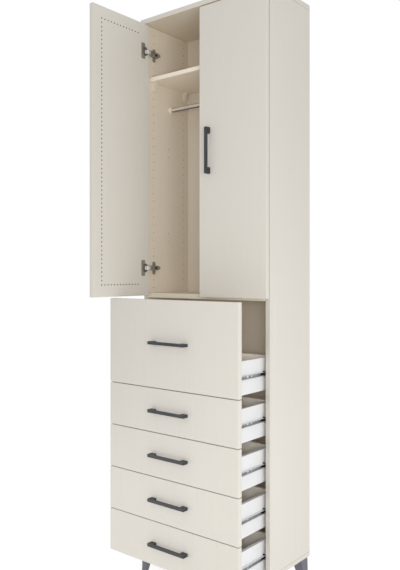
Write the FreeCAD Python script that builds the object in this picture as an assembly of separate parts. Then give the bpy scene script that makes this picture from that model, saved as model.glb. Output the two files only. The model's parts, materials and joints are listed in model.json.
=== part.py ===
import FreeCAD
import Part
import math
import os
from FreeCAD import Vector

# Two-door, five-drawer wardrobe on legs, in millimetres.
# It stands as it is shown: left door open, right door shut, drawers pulled out.

# Carcass
carcass_width = 604.0
carcass_depth = 276.0
side_height = 2055.5
leg_height = 148.5
panel = 18.0
base_thickness = 16.0
back_thickness = 4.0
back_recess = 18.0
groove_depth = 8.0
groove_play = 0.4
edge_break = 0.6
cut_overrun = 1.0

# Doors and drawer fronts
front_thickness = 18.0
front_standoff = 2.5
front_height = 157.5
front_gap = 3.0
base_gap = 1.5
divider_lap = 2.0
section_gap = 6.0
door_top_gap = 5.0
door_side_gap = 2.0
door_meeting_gap = 6.0
plain_drawer_count = 4

# Rows of holes on the sides and the doors
hole_pitch = 32.0
hole_width = 5.0
hole_depth = 10.0
hole_first = 20.0
hole_top_margin = 20.0
hole_setback = 37.0
hole_back_margin = 30.0
hole_sides = 5
peg_pitch = 16.0
peg_column_offset = 44.0
peg_end_margin = 45.5
peg_row_steps = 12

# Shelf, its supports and the rod; heights are counted in holes from the top one
shelf_thickness = 16.0
shelf_setback = 9.0
shelf_end_play = 0.5
shelf_back_play = 2.0
shelf_down_count = 7
support_rise = 31.5
support_foot = 3.0
support_width = 10.0
support_reach = 20.0
support_toe = 8.0
support_lip = 4.0
pin_play = 0.2
rod_down_count = 9
rod_setback = 142.0
rod_rise = 4.5
rod_diameter = 18.0
rod_wall = 1.2
rod_end_play = 1.0
rod_fit = 0.3
spare_hole_setback = 127.5
spare_down_counts = (14, 15, 25, 26)
bracket_flange_diameter = 27.0
bracket_flange = 4.0
bracket_ring_wall = 3.0
bracket_ring_length = 10.0
bracket_sides = 16

# Legs
leg_top_side = 45.0
leg_foot_side = 13.5
leg_inset = 6.5
leg_splay = 3.0
glide_side = 10.0
glide_height = 3.0
bolt_diameter = 8.0
bolt_in_leg = 30.0
bolt_in_panel = 11.0
bolt_play = 0.1
bolt_sides = 8

# Drawer boxes
pulled_out = 166.0
box_height = 115.0
box_back_gap = 9.0
box_rise = 2.0
box_wall = 12.0
bottom_thickness = 4.0
bottom_rise = 10.0
bottom_groove = 6.0

# Drawer runners
runner_gap = 12.7
runner_rise = 60.0
runner_sheet = 1.2
runner_member_height = 12.0
runner_running_gap = 0.4
runner_front_setback = 5.0
runner_lap = 2.6
runner_slot_length = 16.0
runner_slot_width = 7.0
runner_slot_setback = 76.0
runner_hole_width = 6.0
runner_hole_setback = 99.0
stop_length = 5.0
stop_height = 18.0

# Bar handles
handle_length = 171.0
handle_width = 10.5
handle_projection = 24.0
handle_bar_depth = 8.0
handle_foot_length = 23.0
handle_corner_radius = 2.0
handle_edge_offset = 46.0
tall_pull_rise = 4.0

# Concealed hinges; pivots are seen from above with the door shut
hinge_in_count = 3
arm_pivot_from_side = 33.5
arm_pivot_from_front = -0.8
cup_pivot_from_edge = 13.0
cup_pivot_depth = 5.0
door_swing = 90.0
link_swing = 47.7
cup_diameter = 35.0
cup_from_edge = 22.5
cup_depth = 12.6
cup_wall = 0.9
cup_play = 0.1
cup_sides = 16
flange_length = 63.0
flange_width = 21.0
flange_thickness = 1.2
flange_offset = 9.5
flange_corner_cut = 3.0
cup_rim_overhang = 1.5
pivot_diameter = 3.0
pivot_play = 0.3
pivot_press_play = 0.05
pivot_sides = 8
knuckle_diameter = 6.4
link_height = 14.0
link_sheet = 2.2
link_bow = 7.3
ear_gap = 0.4
ear_thickness = 2.0
ear_radius = 3.5
boss_thickness = 3.0
boss_width = 7.0
arm_length = 60.0
arm_front = 10.0
arm_height = 10.0
arm_channel_floor = 3.0
arm_tail = 14.0
arm_tail_taper = 12.0
arm_tail_width = 8.0
plate_boss_front = 22.0
plate_boss_length = 32.0
plate_boss_height = 17.0
plate_thickness = 2.5
plate_rise = 6.0
plate_wing_height = 52.0
plate_wing_width = 16.0
plate_corner_cut = 4.0

# Levels and planes that follow from the sizes above
UP = Vector(0, 0, 1)
ORIGIN = Vector(0, 0, 0)
half_width = carcass_width / 2
inner_half = half_width - panel
base_z = leg_height
base_top_z = base_z + base_thickness
side_top_z = base_top_z + side_height
back_front_y = carcass_depth - back_recess - back_thickness
box_depth = back_front_y - runner_front_setback - box_back_gap
front_face_y = -front_standoff - front_thickness
front_pitch = front_height + front_gap
first_front_z = base_top_z + base_gap
tall_front_height = front_height + front_pitch
stack_top_z = first_front_z + plain_drawer_count * front_pitch + tall_front_height
divider_z = stack_top_z - divider_lap
divider_top_z = divider_z + panel
door_z = stack_top_z + section_gap
door_top_z = side_top_z - door_top_gap
door_width = half_width - door_side_gap - door_meeting_gap / 2
hole_space = side_top_z - divider_top_z - hole_first - hole_top_margin
hole_count = int(hole_space / hole_pitch) + 1
hole_rows_y = (hole_setback, back_front_y - hole_back_margin)

# Plan of the hinge on the left, door shut and door open
arm_pivot = Vector(arm_pivot_from_side - half_width, arm_pivot_from_front, 0)
door_edge_x = door_side_gap - half_width
cup_pivot = Vector(door_edge_x + cup_pivot_from_edge, -front_standoff - cup_pivot_depth, 0)
cup_axis_x = door_edge_x + cup_from_edge
link_turn = FreeCAD.Rotation(UP, link_swing)
door_turn = FreeCAD.Rotation(UP, -door_swing)
open_cup_pivot = arm_pivot + link_turn.multVec(cup_pivot - arm_pivot)
shut_handle = Vector(door_edge_x, front_face_y - handle_projection, 0)
shut_free_edge = Vector(door_edge_x + door_width, -front_standoff, 0)
open_handle = open_cup_pivot + door_turn.multVec(shut_handle - cup_pivot)
open_free_edge = open_cup_pivot + door_turn.multVec(shut_free_edge - cup_pivot)

# The frame's origin is the middle of the floor that the posed wardrobe covers
frame_shift = Vector(-(half_width + open_handle.x) / 2, -(carcass_depth + open_free_edge.y) / 2, 0)


def hole_z(down_count):
    return divider_top_z + hole_first + hole_pitch * (hole_count - 1 - down_count)


def block(x0, x1, y0, y1, z0, z1):
    return Part.makeBox(x1 - x0, y1 - y0, z1 - z0, Vector(x0, y0, z0))


def board(x0, x1, y0, y1, z0, z1):
    # A panel with the small bevel of its edge banding
    plain = block(x0, x1, y0, y1, z0, z1)
    return plain.makeChamfer(edge_break, plain.Edges)


def rod_along(start, direction, diameter, length):
    return Part.makeCylinder(diameter / 2, length, start, direction)


def prism_along(start, direction, across, length, sides):
    # A many-sided bar for small round features that repeat often
    side_way = direction.cross(UP) if direction.cross(UP).Length > 0 else Vector(1, 0, 0)
    other_way = direction.cross(side_way)
    corners = []
    for i in range(sides + 1):
        angle = 2 * math.pi * (i % sides + 1 / 2) / sides
        offset = side_way * math.cos(angle) + other_way * math.sin(angle)
        corners.append(start + offset * (across / 2))
    return Part.Face(Part.makePolygon(corners)).extrude(direction * length)


def extruded(points, travel):
    return Part.Face(Part.makePolygon(points + points[:1])).extrude(travel)


def trimmed_plate(plate, direction, cut):
    # Cuts the corners of a plate, at the edges that run through its thickness
    through = []
    for edge in plate.Edges:
        way = edge.Vertexes[1].Point - edge.Vertexes[0].Point
        if way.cross(direction).Length < edge.Length / 2:
            through.append(edge)
    return plate.makeChamfer(cut, through)


def mirrored(shape):
    return shape.mirror(ORIGIN, Vector(1, 0, 0))


def both_sides(shapes):
    return shapes + [mirrored(shape) for shape in shapes]


def save(name, shapes):
    group = Part.makeCompound(shapes) if len(shapes) > 1 else shapes[0].copy()
    group.translate(frame_shift)
    group.exportStep("parts/" + name + ".step")


def side_panel():
    # Left side: two rows of shelf holes, spare rod holes and the groove for the back
    inner_x = panel - half_width
    side = board(-half_width, inner_x, 0, carcass_depth, base_top_z, side_top_z)
    drill = []
    inwards = Vector(-1, 0, 0)
    for row_y in hole_rows_y:
        for i in range(hole_count):
            mouth = Vector(inner_x + cut_overrun, row_y, hole_z(i))
            drill.append(prism_along(mouth, inwards, hole_width, hole_depth + cut_overrun, hole_sides))
    for down_count in spare_down_counts:
        mouth = Vector(inner_x + cut_overrun, spare_hole_setback, hole_z(down_count))
        drill.append(prism_along(mouth, inwards, hole_width, hole_depth + cut_overrun, hole_sides))
    groove_y = back_front_y - groove_play / 2
    groove = block(inner_x - groove_depth, inner_x + cut_overrun, groove_y,
                   groove_y + back_thickness + groove_play,
                   base_top_z - cut_overrun, side_top_z + cut_overrun)
    return side.cut(Part.makeCompound(drill)).cut(groove)


def leg_places(inset):
    # The four corners of the base, moved inwards
    for x_side in (-1, 1):
        yield x_side, -1, x_side * (half_width - inset), front_face_y + inset
        yield x_side, 1, x_side * (half_width - inset), carcass_depth - inset


def carcass():
    left = side_panel()
    save("side_panel_left", [left])
    save("side_panel_right", [mirrored(left)])
    back_half = inner_half + groove_depth - groove_play / 2
    groove_y = back_front_y - groove_play / 2
    groove_back_y = groove_y + back_thickness + groove_play
    top = board(-half_width, half_width, front_face_y, carcass_depth, side_top_z, side_top_z + panel)
    top_groove = block(-inner_half - groove_depth, inner_half + groove_depth, groove_y, groove_back_y,
                       side_top_z - cut_overrun, side_top_z + groove_depth)
    save("top_panel", [top.cut(top_groove)])
    base = board(-half_width, half_width, front_face_y, carcass_depth, base_z, base_top_z)
    base_groove = block(-inner_half - groove_depth, inner_half + groove_depth, groove_y, groove_back_y,
                        base_top_z - groove_depth, base_top_z + cut_overrun)
    base = base.cut(base_groove)
    for x_side, y_side, x, y in leg_places(leg_inset + leg_top_side / 2):
        start = Vector(x, y, base_z - cut_overrun)
        socket = prism_along(start, UP, bolt_diameter + 2 * bolt_play,
                             bolt_in_panel + bolt_play + cut_overrun, bolt_sides)
        base = base.cut(socket)
    save("bottom_panel", [base])
    save("divider_panel", [block(-inner_half, inner_half, 0, back_front_y, divider_z, divider_top_z)])
    back_z = base_top_z - groove_depth + groove_play / 2
    back_top_z = side_top_z + groove_depth - groove_play / 2
    save("back_panel", [block(-back_half, back_half, back_front_y, back_front_y + back_thickness,
                              back_z, back_top_z)])


def shelf_support(y):
    # Moulded wedge on a pin: its flat top carries the shelf
    side_x = -inner_half
    pin_z = hole_z(shelf_down_count)
    top_z = pin_z + support_rise
    foot_z = pin_z - support_foot
    y0 = y - support_width / 2
    outline = [
        Vector(side_x, y0, foot_z),
        Vector(side_x + support_toe, y0, foot_z),
        Vector(side_x + support_reach, y0, top_z - support_lip),
        Vector(side_x + support_reach, y0, top_z),
        Vector(side_x, y0, top_z),
    ]
    wedge = extruded(outline, Vector(0, support_width, 0))
    pin_start = Vector(side_x + support_toe, y, pin_z)
    pin_length = hole_depth - pin_play + support_toe
    pin = prism_along(pin_start, Vector(-1, 0, 0), hole_width - 2 * pin_play, pin_length, hole_sides)
    return wedge.fuse(pin).removeSplitter()


def shelf_and_rod():
    shelf_z = hole_z(shelf_down_count) + support_rise
    shelf_half = inner_half - shelf_end_play
    save("adjustable_shelf", [board(-shelf_half, shelf_half, shelf_setback, back_front_y - shelf_back_play,
                                    shelf_z, shelf_z + shelf_thickness)])
    save("shelf_supports", both_sides([shelf_support(y) for y in hole_rows_y]))
    rod_z = hole_z(rod_down_count) + rod_rise
    rod_start = Vector(rod_end_play + bracket_flange - inner_half, rod_setback, rod_z)
    rod_length = 2 * (inner_half - bracket_flange - rod_end_play)
    across = Vector(1, 0, 0)
    tube = rod_along(rod_start, across, rod_diameter, rod_length)
    bore = rod_along(rod_start - across * cut_overrun, across, rod_diameter - 2 * rod_wall,
                     rod_length + 2 * cut_overrun)
    save("hanging_rod", [tube.cut(bore)])
    foot = Vector(-inner_half, rod_setback, rod_z)
    bore_diameter = rod_diameter + 2 * rod_fit
    flange = prism_along(foot, across, bracket_flange_diameter, bracket_flange, bracket_sides)
    ring_diameter = bore_diameter + 2 * bracket_ring_wall
    ring = prism_along(foot, across, ring_diameter, bracket_ring_length, bracket_sides)
    seat_start = foot + across * bracket_flange
    seat = prism_along(seat_start, across, bore_diameter, bracket_ring_length, bracket_sides)
    save("rod_brackets", both_sides([flange.fuse(ring).cut(seat).removeSplitter()]))


def leg(x_side, y_side, head_x, head_y):
    # Tapered on its two inner faces; the two outer ones lean out a little
    toe_x = head_x + x_side * leg_splay
    toe_y = head_y + y_side * leg_splay
    foot_xs = sorted((toe_x, toe_x - x_side * leg_foot_side))
    foot_ys = sorted((toe_y, toe_y - y_side * leg_foot_side))
    head_xs = sorted((head_x, head_x - x_side * leg_top_side))
    head_ys = sorted((head_y, head_y - y_side * leg_top_side))
    body = Part.makeWedge(foot_xs[0], glide_height, -foot_ys[1], -head_ys[1], head_xs[0],
                          foot_xs[1], base_z, -foot_ys[0], -head_ys[0], head_xs[1])
    body.rotate(ORIGIN, Vector(1, 0, 0), 90)
    bolt_start = Vector(sum(head_xs) / 2, sum(head_ys) / 2, base_z - bolt_in_leg - bolt_play)
    drill = prism_along(bolt_start, UP, bolt_diameter + 2 * bolt_play,
                        bolt_in_leg + bolt_play + cut_overrun, bolt_sides)
    return body.cut(drill)


def legs():
    save("legs", [leg(*place) for place in leg_places(leg_inset)])
    half = glide_side / 2
    glides = []
    for x_side, y_side, x, y in leg_places(leg_inset - leg_splay + leg_foot_side / 2):
        glides.append(block(x - half, x + half, y - half, y + half, 0, glide_height))
    save("floor_glides", glides)
    bolts = []
    for x_side, y_side, x, y in leg_places(leg_inset + leg_top_side / 2):
        start = Vector(x, y, base_z - bolt_in_leg)
        bolts.append(prism_along(start, UP, bolt_diameter, bolt_in_leg + bolt_in_panel, bolt_sides))
    save("leg_bolts", bolts)


def handle(centre, along):
    # Bar pull on two block feet, standing off a face that looks along -Y
    across = along.cross(Vector(0, 1, 0))
    out = Vector(0, -1, 0)
    corner = centre - along * (handle_length / 2) - across * (handle_width / 2)
    end = corner + along * handle_length
    outline = [corner, end, end + out * handle_projection, corner + out * handle_projection]
    body = extruded(outline, across * handle_width)
    fronts = [edge for edge in body.Edges
              if all(abs(v.Point.y - centre.y + handle_projection) < edge_break for v in edge.Vertexes)
              and (edge.Vertexes[1].Point - edge.Vertexes[0].Point).cross(across).Length < edge_break]
    body = body.makeFillet(handle_corner_radius, fronts)
    window_start = corner + along * handle_foot_length - across * cut_overrun - out * cut_overrun
    window_length = along * (handle_length - 2 * handle_foot_length)
    window_depth = out * (handle_projection - handle_bar_depth + cut_overrun)
    window = [window_start, window_start + window_length, window_start + window_length + window_depth,
              window_start + window_depth]
    return body.cut(extruded(window, across * (handle_width + 2 * cut_overrun)))


def runner_channel(web_x, tip_x, y0, y1, z, height):
    # Rolled channel on its side: the web stands upright and two flanges reach across
    inwards = 1 if tip_x > web_x else -1
    shell = block(min(web_x, tip_x), max(web_x, tip_x), y0, y1, z - height / 2, z + height / 2)
    clear_x = web_x + inwards * runner_sheet
    open_x = tip_x + inwards * cut_overrun
    half_clear = height / 2 - runner_sheet
    hollow = block(min(clear_x, open_x), max(clear_x, open_x), y0 - cut_overrun, y1 + cut_overrun,
                   z - half_clear, z + half_clear)
    return shell.cut(hollow)


def rail_and_stop(z):
    # Cabinet member on the left side panel, with its black end stop at the front
    rail_height = runner_member_height + 2 * (runner_sheet + runner_running_gap)
    side_x = -inner_half
    tip_x = side_x + runner_gap - runner_sheet - runner_lap
    rail_y = runner_front_setback
    rail = runner_channel(side_x, tip_x, rail_y, rail_y + box_depth, z, rail_height)
    stop_x = side_x + runner_gap - runner_running_gap
    stop = block(side_x, stop_x, rail_y - stop_length, rail_y, z - stop_height / 2, z + stop_height / 2)
    passage_half = runner_member_height / 2 + runner_running_gap
    passage = block(side_x + runner_sheet, stop_x + cut_overrun, rail_y - stop_length - cut_overrun,
                    rail_y + cut_overrun, z - passage_half, z + passage_half)
    return rail, stop.cut(passage)


def drawer_member(front_y, z):
    # Drawer member on the left wall of a box, with its slot and screw hole near the front
    wall_x = runner_gap - inner_half
    tip_x = runner_sheet + runner_running_gap - inner_half
    member = runner_channel(wall_x, tip_x, front_y, front_y + box_depth, z, runner_member_height)
    start_x = wall_x - runner_sheet - cut_overrun
    web_cut = runner_sheet + 2 * cut_overrun
    slot_half = runner_slot_length / 2 - runner_slot_width / 2
    across = Vector(1, 0, 0)
    slot_y = front_y + runner_slot_setback
    slot = block(start_x, start_x + web_cut, slot_y - slot_half, slot_y + slot_half,
                 z - runner_slot_width / 2, z + runner_slot_width / 2)
    for end in (-slot_half, slot_half):
        start = Vector(start_x, slot_y + end, z)
        slot = slot.fuse(prism_along(start, across, runner_slot_width, web_cut, hole_sides))
    hole = prism_along(Vector(start_x, front_y + runner_hole_setback, z), across, runner_hole_width, web_cut,
                       hole_sides)
    return member.cut(slot).cut(hole)


def drawer(number, bottom_z, height, pull_rise):
    front_y = -front_standoff - pulled_out
    tag = str(number)
    box_z = bottom_z + box_rise
    wall_x = runner_gap - inner_half
    floor_z = box_z + bottom_rise
    floor_half = inner_half - runner_gap - box_wall + bottom_groove - groove_play / 2
    groove_z = floor_z - groove_play / 2
    groove_top_z = floor_z + bottom_thickness + groove_play / 2
    front = board(-half_width, half_width, front_y - front_thickness, front_y, bottom_z, bottom_z + height)
    front_groove = block(-floor_half - groove_play / 2, floor_half + groove_play / 2,
                         front_y - bottom_groove, front_y + cut_overrun, groove_z, groove_top_z)
    save("drawer_front_" + tag, [front.cut(front_groove)])
    back_y = front_y + box_depth
    wall = block(wall_x, wall_x + box_wall, front_y, back_y, box_z, box_z + box_height)
    wall_groove = block(wall_x + box_wall - bottom_groove, wall_x + box_wall + cut_overrun,
                        front_y - cut_overrun, back_y + cut_overrun, groove_z, groove_top_z)
    save("drawer_sides_" + tag, both_sides([wall.cut(wall_groove)]))
    back_half = inner_half - runner_gap - box_wall
    save("drawer_back_" + tag, [block(-back_half, back_half, back_y - box_wall, back_y,
                                      groove_top_z, box_z + box_height)])
    floor_y = front_y - bottom_groove + groove_play / 2
    save("drawer_bottom_" + tag, [block(-floor_half, floor_half, floor_y, back_y,
                                        floor_z, floor_z + bottom_thickness)])
    pull_z = bottom_z + height / 2 + pull_rise
    pull_centre = Vector(0, front_y - front_thickness, pull_z)
    save("drawer_handle_" + tag, [handle(pull_centre, Vector(1, 0, 0))])
    runner_z = box_z + runner_rise
    save("drawer_runners_" + tag, both_sides([drawer_member(front_y, runner_z)]))
    return rail_and_stop(runner_z)


def drawers():
    # Drawer 1 is the tall one at the top; the others follow downwards
    rails = []
    stops = []
    for number in range(1, plain_drawer_count + 2):
        bottom_z = first_front_z + (plain_drawer_count + 1 - number) * front_pitch
        if number == 1:
            rail, stop = drawer(number, bottom_z, tall_front_height, tall_pull_rise)
        else:
            rail, stop = drawer(number, bottom_z, front_height, 0)
        rails.append(rail)
        stops.append(stop)
    save("runner_rails", both_sides(rails))
    save("runner_end_stops", both_sides(stops))


def hinge_levels():
    # The same number of holes in from each end of the row
    return [hole_z(down) + hole_pitch / 2 for down in (hinge_in_count, hole_count - hinge_in_count)]


def door_shut():
    # Left door shut: peg holes in a C on the inner face and two cup bores
    inner_y = -front_standoff
    free_x = door_edge_x + door_width
    door = board(door_edge_x, free_x, front_face_y, inner_y, door_z, door_top_z)
    outwards = Vector(0, -1, 0)
    column_x = free_x - peg_column_offset
    first_z = door_z + peg_end_margin
    column_steps = int((door_top_z - door_z - 2 * peg_end_margin) / peg_pitch)
    last_z = first_z + column_steps * peg_pitch
    places = [(column_x, first_z + i * peg_pitch) for i in range(column_steps + 1)]
    for i in range(1, peg_row_steps + 1):
        places.append((column_x - i * peg_pitch, first_z))
        places.append((column_x - i * peg_pitch, last_z))
    drill = [prism_along(Vector(x, inner_y + cut_overrun, z), outwards, hole_width, hole_depth + cut_overrun,
                         hole_sides) for x, z in places]
    for z in hinge_levels():
        mouth = Vector(cup_axis_x, inner_y + cut_overrun, z)
        drill.append(prism_along(mouth, outwards, cup_diameter + 2 * cup_play,
                                 cup_depth + cup_play + cut_overrun, cup_sides))
    return door.cut(Part.makeCompound(drill))


def door_handle():
    grip_x = door_edge_x + door_width - handle_edge_offset
    return handle(Vector(grip_x, front_face_y, (door_z + door_top_z) / 2), UP)


def hinge_cup(z):
    # Drawn cup with its screw flange and two bosses for the pivot pin
    inner_y = -front_standoff
    outwards = Vector(0, -1, 0)
    mouth = Vector(cup_axis_x, inner_y, z)
    lip = mouth - outwards * flange_thickness
    cup = prism_along(mouth, outwards, cup_diameter, cup_depth, cup_sides)
    rim = prism_along(lip, outwards, cup_diameter + 2 * cup_rim_overhang, flange_thickness, cup_sides)
    flange_x = cup_axis_x + flange_offset
    flange = block(flange_x - flange_width / 2, flange_x + flange_width / 2,
                   inner_y, inner_y + flange_thickness, z - flange_length / 2, z + flange_length / 2)
    flange = trimmed_plate(flange, outwards, flange_corner_cut)
    hollow_depth = cup_depth - cup_wall
    hollow = prism_along(lip - outwards * cut_overrun, outwards, cup_diameter - 2 * cup_wall,
                         hollow_depth + flange_thickness + cut_overrun, cup_sides)
    cup = cup.fuse(rim).fuse(flange).cut(hollow)
    boss_z = link_height / 2 + ear_gap
    for z0 in (z - boss_z - boss_thickness, z + boss_z):
        boss = block(cup_pivot.x - boss_width / 2, cup_pivot.x + boss_width / 2,
                     inner_y - cup_depth + cup_wall / 2, cup_pivot.y + boss_width / 2,
                     z0, z0 + boss_thickness)
        cup = cup.fuse(boss)
    pin_reach = boss_z + boss_thickness
    bore = prism_along(Vector(cup_pivot.x, cup_pivot.y, z - pin_reach - cut_overrun), UP,
                       pivot_diameter + 2 * pivot_press_play, 2 * (pin_reach + cut_overrun), pivot_sides)
    pin = prism_along(Vector(cup_pivot.x, cup_pivot.y, z - pin_reach), UP, pivot_diameter, 2 * pin_reach,
                      pivot_sides)
    return cup.cut(bore).removeSplitter(), pin


def hinge_link(z):
    # Bowed link between the two pivots: its bow dips into the cup when the door is shut
    chord = arm_pivot - cup_pivot
    half_chord = chord.Length / 2
    bow_radius = (half_chord ** 2 + link_bow ** 2) / (2 * link_bow)
    deep_way = Vector(chord.y, -chord.x, 0).normalize()
    low_z = z - link_height / 2
    centre = (arm_pivot + cup_pivot) * 0.5 + deep_way * (link_bow - bow_radius)
    base = Vector(centre.x, centre.y, low_z)
    first_angle = math.degrees(math.atan2(cup_pivot.y - centre.y, cup_pivot.x - centre.x))
    last_angle = math.degrees(math.atan2(arm_pivot.y - centre.y, arm_pivot.x - centre.x))
    sweep = (last_angle - first_angle) % 360
    band = Part.makeCylinder(bow_radius + link_sheet / 2, link_height, base, UP, sweep)
    band = band.cut(Part.makeCylinder(bow_radius - link_sheet / 2, link_height, base, UP))
    band.rotate(base, UP, first_angle)
    for pivot in (arm_pivot, cup_pivot):
        start = Vector(pivot.x, pivot.y, low_z)
        band = band.fuse(prism_along(start, UP, knuckle_diameter, link_height, pivot_sides))
    for pivot in (arm_pivot, cup_pivot):
        start = Vector(pivot.x, pivot.y, low_z - cut_overrun)
        band = band.cut(prism_along(start, UP, pivot_diameter + 2 * pivot_play,
                                    link_height + 2 * cut_overrun, pivot_sides))
    return band.removeSplitter()


def hinge_arm(z):
    # Channel arm on its plate, with two ears that hold the arm's pivot pin
    foot_x = plate_rise - inner_half
    crest_x = foot_x + arm_height
    ear_z = link_height / 2 + ear_gap
    outer_z = ear_z + ear_thickness
    tail_y = arm_length - arm_tail_taper
    tail_z = arm_tail_width / 2
    edge = [(arm_front, -outer_z), (tail_y, -outer_z), (arm_length, -tail_z),
            (arm_length, tail_z), (tail_y, outer_z), (arm_front, outer_z)]
    arm = extruded([Vector(foot_x, y, z + rise) for y, rise in edge], Vector(arm_height, 0, 0))
    channel = block(foot_x + arm_channel_floor, crest_x + cut_overrun, arm_front - cut_overrun,
                    arm_length - arm_tail, z - ear_z, z + ear_z)
    arm = arm.cut(channel)
    for z0 in (z - outer_z, z + ear_z):
        at_z = UP * z0
        outline = [arm_pivot + Vector(-ear_radius, 0, 0) + at_z, arm_pivot + Vector(ear_radius, 0, 0) + at_z,
                   Vector(crest_x, arm_front, z0), Vector(foot_x, arm_front, z0)]
        ear = extruded(outline, UP * ear_thickness)
        tip = prism_along(arm_pivot + at_z, UP, 2 * ear_radius, ear_thickness, pivot_sides)
        bore = prism_along(arm_pivot + at_z - UP * cut_overrun, UP, pivot_diameter + 2 * pivot_press_play,
                           ear_thickness + 2 * cut_overrun, pivot_sides)
        arm = arm.fuse(ear.fuse(tip).cut(bore))
    pin = prism_along(arm_pivot + UP * (z - outer_z), UP, pivot_diameter, 2 * outer_z, pivot_sides)
    return arm.removeSplitter(), pin


def hinge_plate(z):
    # Cross-shaped mounting plate, screwed into two holes of the front row
    side_x = -inner_half
    boss_y = plate_boss_front
    half_boss = plate_boss_height / 2
    boss = block(side_x, side_x + plate_rise, boss_y, boss_y + plate_boss_length,
                 z - half_boss, z + half_boss)
    wings = block(side_x, side_x + plate_thickness, hole_setback - plate_wing_width / 2,
                  hole_setback + plate_wing_width / 2, z - plate_wing_height / 2, z + plate_wing_height / 2)
    wings = trimmed_plate(wings, Vector(1, 0, 0), plate_corner_cut)
    return boss.fuse(wings).removeSplitter()


def opened(shape):
    # Moves a piece of the left door from shut to the open pose that is shown
    moved = shape.copy()
    moved.rotate(cup_pivot, UP, -door_swing)
    moved.translate(open_cup_pivot - cup_pivot)
    return moved


def link_opened(shape):
    moved = shape.copy()
    moved.rotate(arm_pivot, UP, link_swing)
    return moved


def doors():
    levels = hinge_levels()
    cups = [hinge_cup(z) for z in levels]
    arms = [hinge_arm(z) for z in levels]
    links = [hinge_link(z) for z in levels]
    swinging = {
        "door": [door_shut()],
        "door_handle": [door_handle()],
        "hinge_cups": [cup for cup, pin in cups],
        "hinge_cup_pins": [pin for cup, pin in cups],
    }
    for name, shapes in swinging.items():
        save(name + "_left", [opened(shape) for shape in shapes])
        save(name + "_right", [mirrored(shape) for shape in shapes])
    save("hinge_links_left", [link_opened(link) for link in links])
    save("hinge_links_right", [mirrored(link) for link in links])
    save("hinge_plates", both_sides([hinge_plate(z) for z in levels]))
    save("hinge_arms", both_sides([arm for arm, pin in arms]))
    save("hinge_arm_pins", both_sides([pin for arm, pin in arms]))


os.makedirs("parts", exist_ok=True)
carcass()
shelf_and_rod()
legs()
drawers()
doors()
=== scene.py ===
import json
import math

import bmesh
import bpy
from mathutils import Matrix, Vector


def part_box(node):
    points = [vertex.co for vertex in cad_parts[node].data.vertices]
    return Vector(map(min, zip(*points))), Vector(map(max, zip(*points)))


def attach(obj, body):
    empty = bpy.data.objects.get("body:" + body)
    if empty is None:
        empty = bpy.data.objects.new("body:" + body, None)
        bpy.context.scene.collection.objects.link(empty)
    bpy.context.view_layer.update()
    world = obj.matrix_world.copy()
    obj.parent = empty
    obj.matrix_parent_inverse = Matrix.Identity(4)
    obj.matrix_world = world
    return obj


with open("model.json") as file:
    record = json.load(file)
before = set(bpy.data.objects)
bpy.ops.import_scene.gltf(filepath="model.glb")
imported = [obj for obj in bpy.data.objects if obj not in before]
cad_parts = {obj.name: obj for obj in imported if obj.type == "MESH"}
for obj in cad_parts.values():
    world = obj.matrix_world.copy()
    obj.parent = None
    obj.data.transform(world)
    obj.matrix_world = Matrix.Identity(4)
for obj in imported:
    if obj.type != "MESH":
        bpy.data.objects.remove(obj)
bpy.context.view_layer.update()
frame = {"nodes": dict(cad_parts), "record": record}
nodes = frame["nodes"]

DRAWERS = range(1, 1 + sum(name.startswith("drawer_front_") for name in nodes))

# Colours are sRGB, 0 to 255. A pair holds the plain colour and that of streaks, mottle or worn edges, and
# for the rod that of its painted dark reflections.
CREAM = ((211, 207, 198), (209, 204, 195))
LINING = ((221, 211, 194), (219, 208, 191))
BACK = ((225, 216, 201), (223, 213, 198))
SHELF = ((239, 229, 212), (237, 227, 209))
DRAWER_WALL = ((219, 219, 220), (215, 215, 215))
# Painted light: the drawer bottoms and backs are the walls' white board, coloured brighter and warmer as if
# lit by warm bounce light
DRAWER_INSIDE_LIT = ((238, 233, 225), (234, 228, 219))
# Paler edges: partly the edge banding's own tone, partly a painted highlight along the rounded edges
EDGE_BAND_AND_HIGHLIGHT = (222, 218, 210)
# Painted shade on the side panels' front edges, which stand back behind the drawer fronts
FRONT_EDGE_SHADE = (200, 196, 187)
# Painted shade in the joints at the side panels' top and bottom ends
SEAM_SHADE = (140, 134, 124)
# Drilled holes: raw board colour darkened by painted shade; the door's peg holes are painted near black as
# shade
SHELF_HOLE_RAW_AND_SHADE = (70, 58, 44)
PEG_HOLE_PAINTED_SHADE = (26, 20, 15)
PEG_SHADE_RING = (100, 88, 73)

# Boards whose faces are not cream
FACES = {"adjustable_shelf": SHELF, "divider_panel": LINING, "back_panel": BACK}

# Ways that a face looks: the axis and its sign
RIGHTWARD = (0, 1)
LEFTWARD = (0, -1)
BACKWARD = (1, 1)
FORWARD = (1, -1)
UPWARD = (2, 1)
DOWNWARD = (2, -1)

# Boards with one lined face, and the way that it looks
INNER_FACES = {"side_panel_left": RIGHTWARD, "side_panel_right": LEFTWARD, "top_panel": DOWNWARD}
INNER_FACES.update({f"drawer_front_{number}": BACKWARD for number in DRAWERS})

# Doors: the axis across the door, and the way that its inner face looks
DOORS = {"door_left": (1, RIGHTWARD), "door_right": (0, BACKWARD)}

# Peg holes of the doors, in metres: a column and two rows, with painted shade in dark rings round the holes
PEG_PITCH = 0.016
PEG_COLUMN = 0.044
PEG_MARGIN = 0.0455
PEG_ROW_STEPS = 12
PEG_SHADE_RING_RADIUS = 0.0027

# Depth to which a board's face colours reach, in metres
SKIN = 0.0015

# A board lower than this lies flat, and its grain runs along x
LYING_HEIGHT = 0.1

# Noise runs mostly over this span
NOISE_SPAN = (0.3, 0.7)

# Rounded edges: samples of the bevel, and the cosines between which an edge fades in
EDGE_SAMPLES = 6
EDGE_SPAN = (0.98, 0.80)

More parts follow.
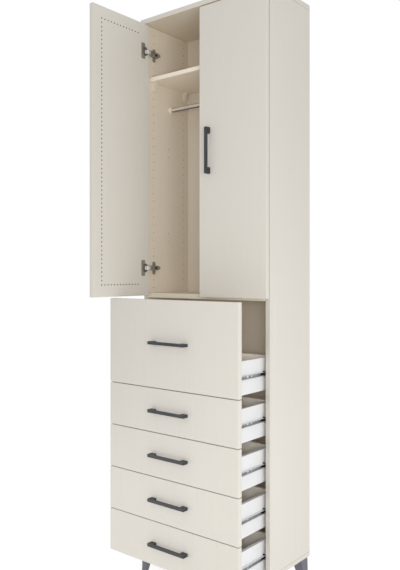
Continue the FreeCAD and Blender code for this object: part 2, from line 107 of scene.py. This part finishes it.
# Laminate: waves per metre along and across the grain, and the step from board to board
GRAIN_ALONG = 3.0
GRAIN_ACROSS = 90.0
GRAIN_STEPS = (0.37, 0.71, 1.13)
GRAIN = {"scale": 1.0, "detail": 3.0, "roughness": 0.6}
GRAIN_SPAN = (0.35, 0.75)
GRAIN_SHARES = (0.0, 0.55)
GRAIN_CLOUDS = {"scale": 2.2}
GRAIN_CLOUD_SHARES = (0.0, 0.35)
PORE_ALONG = 18.0
PORE_ACROSS = 540.0
PORES = {"scale": 1.0, "detail": 3.0, "roughness": 0.7}
PORE_BUMP = {"strength": 0.12, "distance": 0.0004}
LAMINATE_ROUGHNESS = (0.44, 0.56)
LAMINATE_SPECULAR = 0.35
# Paler edge bands: the banding's tone with a painted highlight along the edges
BAND_AND_HIGHLIGHT_RADIUS = 0.0016
BAND_AND_HIGHLIGHT_SHARE = 0.6

# White boards of the drawer boxes
MOTTLE = {"scale": 9.0, "detail": 4.0}
MOTTLE_SPAN = (0.35, 0.65)
WHITE_ROUGHNESS = (0.38, 0.5)
WHITE_TEXTURE = {"scale": 700.0}
WHITE_BUMP = {"strength": 0.05, "distance": 0.0002}

# Powder coats and moulded plastics, by slot
COATS = {
    "dark_handle": {"colours": ((39, 40, 44), (75, 77, 83)), "roughness": 0.5, "speckle": 1400.0},
    "leg_grey": {"colours": ((88, 88, 97), (128, 128, 134)), "roughness": 0.40, "speckle": 1200.0},
    "beige_plastic": {"colours": ((214, 205, 188), (226, 219, 205)), "roughness": 0.45, "speckle": 900.0},
    "black_plastic": {"colours": ((14, 14, 14), (38, 38, 39)), "roughness": 0.6, "speckle": 900.0,
                      "specular": 0.2},
}
BRACKET_COAT = {"colours": ((230, 221, 205), (238, 231, 219)), "roughness": 0.45, "speckle": 900.0}
# Guides: black plastic, darkened further as painted shade in the mouths of the rails
GUIDE_COAT_AND_SHADE = {"colours": ((8, 8, 8), (24, 24, 25)), "roughness": 0.7, "speckle": 900.0, "specular": 0.1}
COAT_SPECKLE = {"detail": 3.0, "roughness": 0.65}
COAT_CLOUDS = {"scale": 25.0}
COAT_CLOUD_SHARES = (0.0, 0.25)
COAT_ROUGHNESS_STEPS = (-0.06, 0.08)
COAT_BUMP = {"strength": 0.15, "distance": 0.0003}
WORN_RADIUS = 0.0008
WORN_SHARE = 0.45

# Plated steels, by slot: the drawn lines run along the axis; the zinc's top colour is a painted highlight on
# its upward faces
STEELS = {
    "zinc_steel": {"colours": ((170, 171, 173), (128, 130, 133)), "roughness": 0.36, "axis": 1,
                   "metallic": 0.7, "top": (222, 223, 225)},
    "hinge_steel": {"colours": ((160, 154, 141), (128, 122, 109)), "roughness": 0.45, "axis": 2,
                    "metallic": 0.3},
    "bright_steel": {"colours": ((204, 200, 198), (186, 182, 180)), "roughness": 0.5, "axis": 2,
                     "metallic": 0.25},
}
PLATED_SCREW = {"colours": ((150, 146, 138), (120, 116, 108)), "roughness": 0.4, "axis": 2, "metallic": 0.5}
DARK_SCREW = {"colours": ((40, 38, 35), (58, 55, 50)), "roughness": 0.5, "axis": 2, "metallic": 0.3}
BRIGHT_SCREW = {"colours": ((232, 233, 234), (214, 215, 216)), "roughness": 0.38, "axis": 2, "metallic": 0.3}
DRAWN_ALONG = 12.0
DRAWN_ACROSS = 900.0
DRAWN_LINES = {"scale": 1.0, "detail": 3.0, "roughness": 0.6}
DRAWN_SHARES = (0.0, 0.6)
STEEL_CLOUDS = {"scale": 40.0, "detail": 3.0}
STEEL_CLOUD_SPAN = (0.4, 0.7)
STEEL_CLOUD_SHARES = (0.0, 0.4)
STEEL_PAINTED_HIGHLIGHT_SPAN = (0.5, 0.8)
STEEL_ROUGHNESS_STEPS = (-0.05, 0.1)
STEEL_BUMP = {"strength": 0.06, "distance": 0.0002}

# Chrome of the hanging rod: the plain colour and that of the painted dark reflections in bands above and
# below
ROD_CHROME_AND_PAINTED_REFLECTION = ((226, 220, 216), (126, 116, 108))
ROD_ALONG = 8.0
ROD_ACROSS = 700.0
ROD_AXIS = 0
ROD_WAVER = (-0.06, 0.06)
ROD_PAINTED_REFLECTION_SPAN = (0.45, 0.8)
ROD_METALLIC = 0.6
ROD_ROUGHNESS = (0.25, 0.38)
ROD_BUMP = {"strength": 0.05, "distance": 0.0002}

# Screw heads, in metres: width and height
FLANGE_SCREW = (0.0075, 0.0016)
PLATE_SCREW = (0.0085, 0.002)
ARM_SCREW = (0.0078, 0.0065)
SLOT_SCREW = (0.0088, 0.0022)
RUNNER_SCREW = (0.0068, 0.0018)

# Outline of a pan head from its drive recess outwards, as shares of its radius and height
HEAD_OUTLINE_SHARES = ((0.0, 0.3), (0.26, 0.3), (0.34, 0.96), (0.62, 1.0), (0.88, 0.72), (1.0, 0.3),
                       (1.0, 0.0))
HEAD_STEPS = 20

# Hinges, in metres: the flange on the door, the plate on the side panel and the arm on the plate
FLANGE_HALF = 0.0315
FLANGE_FROM_EDGE = 0.032
FLANGE_SCREW_RISE = 0.024
PLATE_SCREW_RISE = 0.016
PLATE_SCREW_SETBACK = 0.037
PLATE_THICKNESS = 0.0025
ARM_SCREW_SETBACK = 0.040
ARM_FLOOR = 0.009

# Drawer members, in metres: from their open side to the web, and from their front ends to the screws
MEMBER_DEPTH = 0.0099
SLOT_SCREW_SETBACK = 0.076
RUNNER_SCREW_SETBACK = 0.099

# Guides, in metres: from the side panel into the web, then their reach from there and from the end stops
GUIDE_WEB = 0.0116
GUIDE_REACH = 0.0086
GUIDE_AHEAD = 0.0186
GUIDE_BEHIND = 0.0016
GUIDE_HALF = 0.0043
GUIDE_NOSE = 0.0025
GUIDE_EDGE = 0.0006
GUIDE_EDGE_STEPS = 2

# Camera, level, with the horizon off the middle of the picture
CAMERA_PLACE = (1.5699, -1.92865, 1.2231)
CAMERA_LEVEL = 90
CAMERA_TURN = 39.047
FOCAL_PIXELS = 662.83
HORIZON_PIXEL = 272.68
IMAGE_HEIGHT = 570
SENSOR = 36.0

# World and floor
WORLD_LIGHT = 0.685
WORLD_SEEN = 1.0
FLOOR_HALF = 20.0
FLOOR_GLOW = 0.45
FLOOR_SEEN = 0.82
FLOOR_BOUNCE = 0.86
DIFFUSE_BOUNCES = 12

# Lamps: places and sizes in metres, power in watts, spread in degrees
LAMPS = {
    "key": {"place": (2.65, -1.83, 1.3), "target": (0, 0, 1.2), "size": (1.2, 1.2), "power": 27},
    "fill": {"place": (1.75, -2.15, 1.25), "target": (0, 0, 1.15), "size": (0.5, 0.5), "power": 16.5},
    "low_right": {"place": (2.4, 0.1, 0.5), "target": (0, 0.1, 0.1), "size": (2.0, 0.5), "power": 2.4,
                  "spread": 90},
    "gap_fill": {"place": (1.75, -2.15, 1.1), "target": (0.25, -0.1, 0.4), "size": (0.4, 0.4), "power": 0.1,
                 "spread": 36},
    "low_left": {"place": (-1.1, -1.5, 0.15), "target": (-0.3, -0.3, 0.1), "size": (0.8, 0.2), "power": 0.7,
                 "spread": 60},
}


def linear(colour):
    """A Blender colour from an sRGB colour, by the standard's curve."""
    def one(value):
        share = value / 255
        return share / 12.92 if share <= 0.04045 else ((share + 0.055) / 1.055) ** 2.4
    return (*map(one, colour), 1.0)


def stretched(axis, along, across):
    """Scales for a pattern that is drawn out along one axis."""
    return tuple(along if i == axis else across for i in range(3))


class Graph:
    """The nodes of a material or a world, with short calls to add and join them."""

    def __init__(self, owner):
        owner.use_nodes = True
        self.owner = owner
        self.tree = owner.node_tree
        self.shader = self.tree.nodes.get("Principled BSDF")

    def add(self, kind, **values):
        node = self.tree.nodes.new("ShaderNode" + kind)
        for key, value in values.items():
            setattr(node, key, value)
        return node

    def join(self, source, target):
        self.tree.links.new(source, target)

    def feed(self, socket, value):
        """Joins a node's output to a socket, or sets a plain value."""
        if isinstance(value, bpy.types.NodeSocket):
            self.join(value, socket)
        else:
            socket.default_value = value

    def surface(self, name, value):
        self.feed(self.shader.inputs[name], value)

    def math(self, operation, first, second=0.0):
        node = self.add("Math", operation=operation)
        self.feed(node.inputs[0], first)
        self.feed(node.inputs[1], second)
        return node.outputs[0]

    def mix(self, share, first, second):
        """A mix of two colours; the node's colour sockets are inputs 6 and 7 and output 2."""
        node = self.add("Mix", data_type="RGBA")
        self.feed(node.inputs["Factor"], share)
        self.feed(node.inputs[6], first)
        self.feed(node.inputs[7], second)
        return node.outputs[2]

    def blend(self, share, colours):
        """A mix of a pair of colours."""
        return self.mix(share, *map(linear, colours))

    def place(self, scale=(1, 1, 1), shift=(0, 0, 0)):
        mapping = self.add("Mapping")
        mapping.inputs["Scale"].default_value = scale
        mapping.inputs["Location"].default_value = shift
        self.join(self.add("TexCoord").outputs["Object"], mapping.inputs["Vector"])
        return mapping.outputs[0]

    def parts(self, kind):
        """The x, y and z of a texture coordinate."""
        split = self.add("SeparateXYZ")
        self.join(self.add("TexCoord").outputs[kind], split.inputs[0])
        return split.outputs

    def noise(self, place, **values):
        node = self.add("TexNoise")
        self.join(place, node.inputs["Vector"])
        for key, value in values.items():
            node.inputs[key.title()].default_value = value
        return node.outputs["Fac"]

    def spread(self, value, span, target=(0.0, 1.0)):
        """A value's span spread over another one, held at both ends."""
        node = self.add("MapRange")
        self.join(value, node.inputs["Value"])
        for key, number in zip(("From Min", "From Max", "To Min", "To Max"), (*span, *target)):
            node.inputs[key].default_value = number
        return node.outputs[0]

    def bump(self, height, strength, distance):
        node = self.add("Bump")
        node.inputs["Strength"].default_value = strength
        node.inputs["Distance"].default_value = distance
        self.join(height, node.inputs["Height"])
        self.surface("Normal", node.outputs[0])

    def edges(self, radius):
        """1 along the edges of the piece, 0 on its faces."""
        bevel = self.add("Bevel", samples=EDGE_SAMPLES)
        bevel.inputs["Radius"].default_value = radius
        cosine = self.add("VectorMath", operation="DOT_PRODUCT")
        self.join(bevel.outputs[0], cosine.inputs[0])
        self.join(self.add("NewGeometry").outputs["Normal"], cosine.inputs[1])
        return self.spread(cosine.outputs["Value"], EDGE_SPAN)

    def upright(self):
        """The upward share of the surface's normal, -1 to 1."""
        return self.parts("Normal")[2]

    def within(self, value, middle, reach):
        """1 where a value is nearer to the middle than the reach."""
        away = self.math("ABSOLUTE", self.math("SUBTRACT", value, middle))
        return self.math("LESS_THAN", away, reach)

    def every(self, *shares):
        """1 where all the shares are 1."""
        product = shares[0]
        for share in shares[1:]:
            product = self.math("MULTIPLY", product, share)
        return product

    def facing(self, way, box):
        """1 on the face of a board that looks a given way."""
        low, high = box
        axis, sign = way
        place = self.parts("Object")[axis]
        if sign > 0:
            return self.math("GREATER_THAN", place, high[axis] - SKIN)
        return self.math("LESS_THAN", place, low[axis] + SKIN)

    def drilled(self, box):
        """1 where the surface lies inside a board's box, as in a drilled hole."""
        places = self.parts("Object")
        return self.every(*(self.within(place, (low + high) / 2, (high - low) / 2 - SKIN)
                            for place, low, high in zip(places, *box)))

    def pegs(self, across, box):
        """1 on the painted shade round a door's peg holes, which stand in a C on a square grid."""
        low, high = box
        places = self.parts("Object")
        aside = self.math("SUBTRACT", places[across], low[across] + PEG_COLUMN)
        above = self.math("SUBTRACT", places[2], low.z + PEG_MARGIN)
        half_reach = PEG_PITCH * PEG_ROW_STEPS / 2
        half_rise = PEG_PITCH * round((high.z - low.z - 2 * PEG_MARGIN) / PEG_PITCH) / 2
        offsets = [self.math("PINGPONG", place, PEG_PITCH / 2) for place in (aside, above)]
        squares = [self.math("POWER", offset, 2.0) for offset in offsets]
        near = self.math("LESS_THAN", self.math("ADD", *squares), PEG_SHADE_RING_RADIUS ** 2)
        in_reach = self.within(aside, half_reach, half_reach + PEG_SHADE_RING_RADIUS)
        in_rise = self.within(above, half_rise, half_rise + PEG_SHADE_RING_RADIUS)
        on_column = self.within(aside, 0.0, PEG_SHADE_RING_RADIUS)
        on_row = self.math("SUBTRACT", 1.0, self.within(above, half_rise, half_rise - PEG_SHADE_RING_RADIUS))
        return self.every(near, self.math("MAXIMUM", on_column, on_row), in_rise, in_reach)

    def background_rays(self):
        """1 for the rays that show the background: the camera's own and those by way of metal or glass."""
        path = self.add("LightPath").outputs
        indirect = self.math("MAXIMUM", path["Is Glossy Ray"], path["Is Transmission Ray"])
        return self.math("MAXIMUM", path["Is Camera Ray"], indirect)


def new_graph(name):
    return Graph(bpy.data.materials.new(name))


def laminate(name, number):
    """Laminate with a faint grain along the board, paler edge bands with a painted highlight, and drilled
    holes of raw board darkened by painted shade.
    """
    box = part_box(name)
    axis = 2 if box[1].z - box[0].z > LYING_HEIGHT else 0
    shift = tuple(number * step for step in GRAIN_STEPS)
    graph = new_graph("laminate_" + name)
    grain = graph.noise(graph.place(stretched(axis, GRAIN_ALONG, GRAIN_ACROSS), shift), **GRAIN)
    clouds = graph.noise(graph.place(shift=shift), **GRAIN_CLOUDS)
    streaks = graph.math("ADD", graph.spread(grain, GRAIN_SPAN, GRAIN_SHARES),
                         graph.spread(clouds, NOISE_SPAN, GRAIN_CLOUD_SHARES))
    colour = graph.blend(streaks, FACES.get(name, CREAM))
    if name in INNER_FACES:
        inner = graph.facing(INNER_FACES[name], box)
        colour = graph.mix(inner, colour, graph.blend(streaks, LINING))
    if name.startswith("side_panel"):
        # Painted shade: the side panels' front edges are coloured darker
        colour = graph.mix(graph.facing(FORWARD, box), colour, linear(FRONT_EDGE_SHADE))
        # Painted shade: a dark strip along the side panels' top and bottom ends, where they meet the other
        # boards
        seam_shade = graph.math("MAXIMUM", graph.facing(UPWARD, box), graph.facing(DOWNWARD, box))
        colour = graph.mix(seam_shade, colour, linear(SEAM_SHADE))
    # Paler bands along all edges: the banding's tone with a painted highlight
    bands = graph.math("MULTIPLY", graph.edges(BAND_AND_HIGHLIGHT_RADIUS), BAND_AND_HIGHLIGHT_SHARE)
    colour = graph.mix(bands, colour, linear(EDGE_BAND_AND_HIGHLIGHT))
    # Painted shade in the drilled holes, near black in the door's peg holes
    hole = SHELF_HOLE_RAW_AND_SHADE
    if name in DOORS:
        hole = PEG_HOLE_PAINTED_SHADE
        across, way = DOORS[name]
        # Painted shade: dark rings round the peg holes on the door's inner face
        hole_shade_rings = graph.every(graph.pegs(across, box), graph.facing(way, box))
        colour = graph.mix(hole_shade_rings, colour, linear(PEG_SHADE_RING))
    graph.surface("Base Color", graph.mix(graph.drilled(box), colour, linear(hole)))
    graph.surface("Roughness", graph.spread(grain, NOISE_SPAN, LAMINATE_ROUGHNESS))
    graph.surface("Specular IOR Level", LAMINATE_SPECULAR)
    pores = graph.noise(graph.place(stretched(axis, PORE_ALONG, PORE_ACROSS), shift), **PORES)
    graph.bump(pores, **PORE_BUMP)
    return graph.owner


def white_board(name, colours):
    """White laminate of the drawer boxes."""
    graph = new_graph(name)
    mottle = graph.noise(graph.place(), **MOTTLE)
    graph.surface("Base Color", graph.blend(graph.spread(mottle, MOTTLE_SPAN), colours))
    graph.surface("Roughness", graph.spread(mottle, NOISE_SPAN, WHITE_ROUGHNESS))
    graph.bump(graph.noise(graph.place(), **WHITE_TEXTURE), **WHITE_BUMP)
    return graph.owner


def coated(name, colours, roughness, speckle, specular=0.5):
    """A powder coat or a moulded plastic: fine speckle, paler worn edges."""
    graph = new_graph(name)
    fine = graph.noise(graph.place(), scale=speckle, **COAT_SPECKLE)
    clouds = graph.noise(graph.place(), **COAT_CLOUDS)
    shade = graph.blend(graph.spread(clouds, NOISE_SPAN, COAT_CLOUD_SHARES), colours)
    worn = graph.math("MULTIPLY", graph.edges(WORN_RADIUS), WORN_SHARE)
    span = [roughness + step for step in COAT_ROUGHNESS_STEPS]
    graph.surface("Base Color", graph.mix(worn, shade, linear(colours[1])))
    graph.surface("Roughness", graph.spread(fine, NOISE_SPAN, span))
    graph.surface("Specular IOR Level", specular)
    graph.bump(fine, **COAT_BUMP)
    return graph.owner


def steel(name, colours, roughness, axis, metallic, top=None):
    """Plated steel with fine drawn lines along an axis, with a painted highlight on upward faces where a top
    colour is given.
    """
    graph = new_graph(name)
    lines = graph.noise(graph.place(stretched(axis, DRAWN_ALONG, DRAWN_ACROSS)), **DRAWN_LINES)
    clouds = graph.noise(graph.place(), **STEEL_CLOUDS)
    streaks = graph.math("ADD", graph.spread(lines, NOISE_SPAN, DRAWN_SHARES),
                         graph.spread(clouds, STEEL_CLOUD_SPAN, STEEL_CLOUD_SHARES))
    colour = graph.blend(streaks, colours)
    if top:
        # Painted highlight: upward faces take the brighter top colour
        colour = graph.mix(graph.spread(graph.upright(), STEEL_PAINTED_HIGHLIGHT_SPAN), colour, linear(top))
    span = [roughness + step for step in STEEL_ROUGHNESS_STEPS]
    graph.surface("Base Color", colour)
    graph.surface("Roughness", graph.spread(lines, NOISE_SPAN, span))
    graph.surface("Metallic", metallic)
    graph.bump(lines, **STEEL_BUMP)
    return graph.owner


def rod_chrome():
    """A polished tube: painted dark reflections in bands above and below, fine lines along it."""
    graph = new_graph("rod_chrome")
    lines = graph.noise(graph.place(stretched(ROD_AXIS, ROD_ALONG, ROD_ACROSS)), **DRAWN_LINES)
    waver = graph.spread(lines, NOISE_SPAN, ROD_WAVER)
    # Painted reflection: the colour darkens towards the top and bottom of the tube, by the slope of its face
    painted_reflection_slope = graph.math("ADD", graph.math("ABSOLUTE", graph.upright()), waver)
    graph.surface("Base Color", graph.blend(graph.spread(painted_reflection_slope, ROD_PAINTED_REFLECTION_SPAN), ROD_CHROME_AND_PAINTED_REFLECTION))
    graph.surface("Roughness", graph.spread(lines, NOISE_SPAN, ROD_ROUGHNESS))
    graph.surface("Metallic", ROD_METALLIC)
    graph.bump(lines, **ROD_BUMP)
    return graph.owner


def dress(material, names):
    for name in names:
        materials = nodes[name].data.materials
        materials.clear()
        materials.append(material)


def paint_boards(slots):
    for number, name in enumerate(sorted(slots["cream_laminate"] + slots["back_board"])):
        dress(laminate(name, number), [name])
    walls = [name for name in slots["drawer_white"] if name.startswith("drawer_sides")]
    insides = [name for name in slots["drawer_white"] if name not in walls]
    dress(white_board("drawer_white", DRAWER_WALL), walls)
    # Painted light: the drawer insides take a brighter, warmer copy of the white board
    dress(white_board("drawer_inside_lit", DRAWER_INSIDE_LIT), insides)


def paint_fittings(slots):
    for slot, values in COATS.items():
        dress(coated(slot, **values), slots[slot])
    dress(coated("bracket_plastic", **BRACKET_COAT), ["rod_brackets"])
    for slot, values in STEELS.items():
        dress(steel(slot, **values), slots[slot])
    dress(rod_chrome(), slots["rod_chrome"])


def paint_object():
    slots = {}
    for part in frame["record"]["subparts"]:
        slots.setdefault(part["material_slot"], []).append(part["node"])
    paint_boards(slots)
    paint_fittings(slots)


def add_piece(name, build, body, material):
    """Makes a piece from a mesh that is built where it stands in the frame, and lets it ride on a body."""
    mesh = bpy.data.meshes.new(name)
    build.to_mesh(mesh)
    build.free()
    mesh.materials.append(material)
    piece = bpy.data.objects.new(name, mesh)
    bpy.context.scene.collection.objects.link(piece)
    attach(piece, body)


def bridge(build, near, far):
    """Faces between two rings of corners, of which the near one can be a single point."""
    for i in range(len(far)):
        after = (i + 1) % len(far)
        if len(near) == 1:
            build.faces.new((near[0], far[i], far[after]))
        else:
            build.faces.new((near[i], far[i], far[after], near[after]))


def make_screw(name, place, way, head, body, material):
    """A pan-head screw that stands on a face at a place and looks along a way."""
    width, height = head
    turn = Vector((0, 0, 1)).rotation_difference(Vector(way)).to_matrix().to_4x4()
    build = bmesh.new()
    rings = []
    for out, up in HEAD_OUTLINE_SHARES:
        reach = out * width / 2
        ring = []
        for step in range(HEAD_STEPS if out else 1):
            angle = 2 * math.pi * step / HEAD_STEPS
            corner = Vector((reach * math.cos(angle), reach * math.sin(angle), up * height))
            ring.append(build.verts.new(turn @ corner + Vector(place)))
        rings.append(ring)
    for near, far in zip(rings, rings[1:]):
        bridge(build, near, far)
    build.faces.new(rings[-1][::-1])
    add_piece(name, build, body, material)


def make_hinge_screws():
    """Screws in the hinges' flanges on the doors, and in their plates and arms on the side panels."""
    plated = steel("screw_plated", **PLATED_SCREW)
    dark = steel("screw_dark", **DARK_SCREW)
    cups_low, cups_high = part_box("hinge_cups_left")
    levels = {"low": cups_low.z + FLANGE_HALF, "high": cups_high.z - FLANGE_HALF}
    open_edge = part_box("door_left")[1].y
    shut_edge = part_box("door_right")[1].x
    flanges = {
        "left": (cups_high.x, open_edge - FLANGE_FROM_EDGE, (1, 0, 0)),
        "right": (shut_edge - FLANGE_FROM_EDGE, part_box("hinge_cups_right")[1].y, (0, 1, 0)),
    }
    inner_right, front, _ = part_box("side_panel_right")[0]
    walls = {"left": (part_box("side_panel_left")[1].x, 1), "right": (inner_right, -1)}
    for level, z in levels.items():
        for end, rise in (("a", -1), ("b", 1)):
            for side, (x, y, way) in flanges.items():
                make_screw(f"flange_screw_{side}_{level}_{end}", (x, y, z + rise * FLANGE_SCREW_RISE), way,
                           FLANGE_SCREW, f"{side}_door", plated)
            for side, (wall, way) in walls.items():
                place = (wall + way * PLATE_THICKNESS, front + PLATE_SCREW_SETBACK,
                         z + rise * PLATE_SCREW_RISE)
                make_screw(f"plate_screw_{side}_{level}_{end}", place, (way, 0, 0),
                           PLATE_SCREW, "carcass", plated)
        for side, (wall, way) in walls.items():
            place = (wall + way * ARM_FLOOR, front + ARM_SCREW_SETBACK, z)
            make_screw(f"arm_screw_{side}_{level}", place, (way, 0, 0),
                       ARM_SCREW, "carcass", dark)


def make_runner_screws():
    """Screws in the slots and round holes of the drawer members."""
    bright = steel("screw_bright", **BRIGHT_SCREW)
    for number in DRAWERS:
        low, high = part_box(f"drawer_runners_{number}")
        z = (low.z + high.z) / 2
        for side, x, way in (("left", low.x + MEMBER_DEPTH, -1), ("right", high.x - MEMBER_DEPTH, 1)):
            make_screw(f"slot_screw_{number}_{side}", (x, low.y + SLOT_SCREW_SETBACK, z), (way, 0, 0),
                       SLOT_SCREW, f"drawer_{number}", bright)
            make_screw(f"runner_screw_{number}_{side}", (x, low.y + RUNNER_SCREW_SETBACK, z), (way, 0, 0),
                       RUNNER_SCREW, f"drawer_{number}", bright)


def make_guide(name, web, way, stop, middle, body, material):
    """A guide that stands on the web of a drawer member and narrows to its front end."""
    build = bmesh.new()
    front = stop - GUIDE_AHEAD
    sections = []
    for y, inset in ((front, GUIDE_NOSE), (front + GUIDE_NOSE, 0.0), (stop + GUIDE_BEHIND, 0.0)):
        half = GUIDE_HALF - inset
        tip = web - way * (GUIDE_REACH - inset)
        corners = ((web, middle - half), (tip, middle - half), (tip, middle + half), (web, middle + half))
        sections.append([build.verts.new((x, y, z)) for x, z in corners])
    for near, far in zip(sections, sections[1:]):
        bridge(build, near, far)
    build.faces.new(sections[0])
    build.faces.new(sections[-1])
    bmesh.ops.recalc_face_normals(build, faces=build.faces[:])
    bmesh.ops.bevel(build, geom=build.edges[:], offset=GUIDE_EDGE, segments=GUIDE_EDGE_STEPS, affect="EDGES")
    add_piece(name, build, body, material)


def make_guides():
    """Black guides inside the drawer members, at the mouths of the rails while the drawers stand at rest,
    coloured darker still as painted shade.
    """
    black = coated("guide_black_and_shade", **GUIDE_COAT_AND_SHADE)
    stops_low, stops_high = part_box("runner_end_stops")
    for number in DRAWERS:
        low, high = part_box(f"drawer_runners_{number}")
        middle = (low.z + high.z) / 2
        for side, wall, way in (("left", stops_low.x, 1), ("right", stops_high.x, -1)):
            make_guide(f"runner_guide_{number}_{side}", wall + way * GUIDE_WEB, way, stops_high.y, middle,
                       f"drawer_{number}", black)


def make_floor():
    """A floor that shows as white with the object's soft shadow, and throws light back at the object."""
    corners = [(-FLOOR_HALF, -FLOOR_HALF, 0), (FLOOR_HALF, -FLOOR_HALF, 0),
               (FLOOR_HALF, FLOOR_HALF, 0), (-FLOOR_HALF, FLOOR_HALF, 0)]
    mesh = bpy.data.meshes.new("floor")
    mesh.from_pydata(corners, [], [(0, 1, 2, 3)])
    floor = bpy.data.objects.new("floor", mesh)
    bpy.context.scene.collection.objects.link(floor)
    graph = new_graph("floor")
    graph.tree.nodes.remove(graph.shader)
    bounced = graph.add("BsdfDiffuse")
    bounced.inputs["Color"].default_value = (FLOOR_BOUNCE, FLOOR_BOUNCE, FLOOR_BOUNCE, 1)
    shaded = graph.add("BsdfDiffuse")
    shaded.inputs["Color"].default_value = (FLOOR_SEEN, FLOOR_SEEN, FLOOR_SEEN, 1)
    glow = graph.add("Emission")
    glow.inputs["Strength"].default_value = FLOOR_GLOW
    seen = graph.add("AddShader")
    graph.join(shaded.outputs[0], seen.inputs[0])
    graph.join(glow.outputs[0], seen.inputs[1])
    either = graph.add("MixShader")
    graph.join(graph.background_rays(), either.inputs[0])
    graph.join(bounced.outputs[0], either.inputs[1])
    graph.join(seen.outputs[0], either.inputs[2])
    graph.join(either.outputs[0], graph.tree.nodes["Material Output"].inputs["Surface"])
    mesh.materials.append(graph.owner)


def make_world():
    """An even white world that shows brighter than it lights."""
    world = bpy.data.worlds.new("studio")
    bpy.context.scene.world = world
    graph = Graph(world)
    background = graph.tree.nodes["Background"]
    background.inputs["Color"].default_value = (1, 1, 1, 1)
    strength = graph.spread(graph.background_rays(), (0.0, 1.0), (WORLD_LIGHT, WORLD_SEEN))
    graph.join(strength, background.inputs["Strength"])


def make_lamp(name, place, target, size, power, spread=180):
    data = bpy.data.lights.new(name, "AREA")
    data.shape = "RECTANGLE"
    data.size, data.size_y = size
    data.energy = power
    data.spread = math.radians(spread)
    lamp = bpy.data.objects.new(name, data)
    lamp.location = place
    lamp.rotation_euler = (Vector(target) - Vector(place)).to_track_quat("-Z", "Y").to_euler()
    bpy.context.scene.collection.objects.link(lamp)


def make_camera():
    """A camera whose sensor width spans the picture's height, its longer side."""
    data = bpy.data.cameras.new("camera")
    data.sensor_width = SENSOR
    data.lens = FOCAL_PIXELS * SENSOR / IMAGE_HEIGHT
    data.shift_y = (HORIZON_PIXEL - IMAGE_HEIGHT / 2) / IMAGE_HEIGHT
    camera = bpy.data.objects.new("camera", data)
    camera.location = CAMERA_PLACE
    camera.rotation_euler = (math.radians(CAMERA_LEVEL), 0, math.radians(CAMERA_TURN))
    bpy.context.scene.collection.objects.link(camera)
    bpy.context.scene.camera = camera


paint_object()
make_hinge_screws()
make_runner_screws()
make_guides()
make_floor()
make_world()
for lamp_name, lamp_values in LAMPS.items():
    make_lamp(lamp_name, **lamp_values)
make_camera()
bpy.context.scene.view_settings.view_transform = "Standard"
bpy.context.scene.cycles.diffuse_bounces = DIFFUSE_BOUNCES
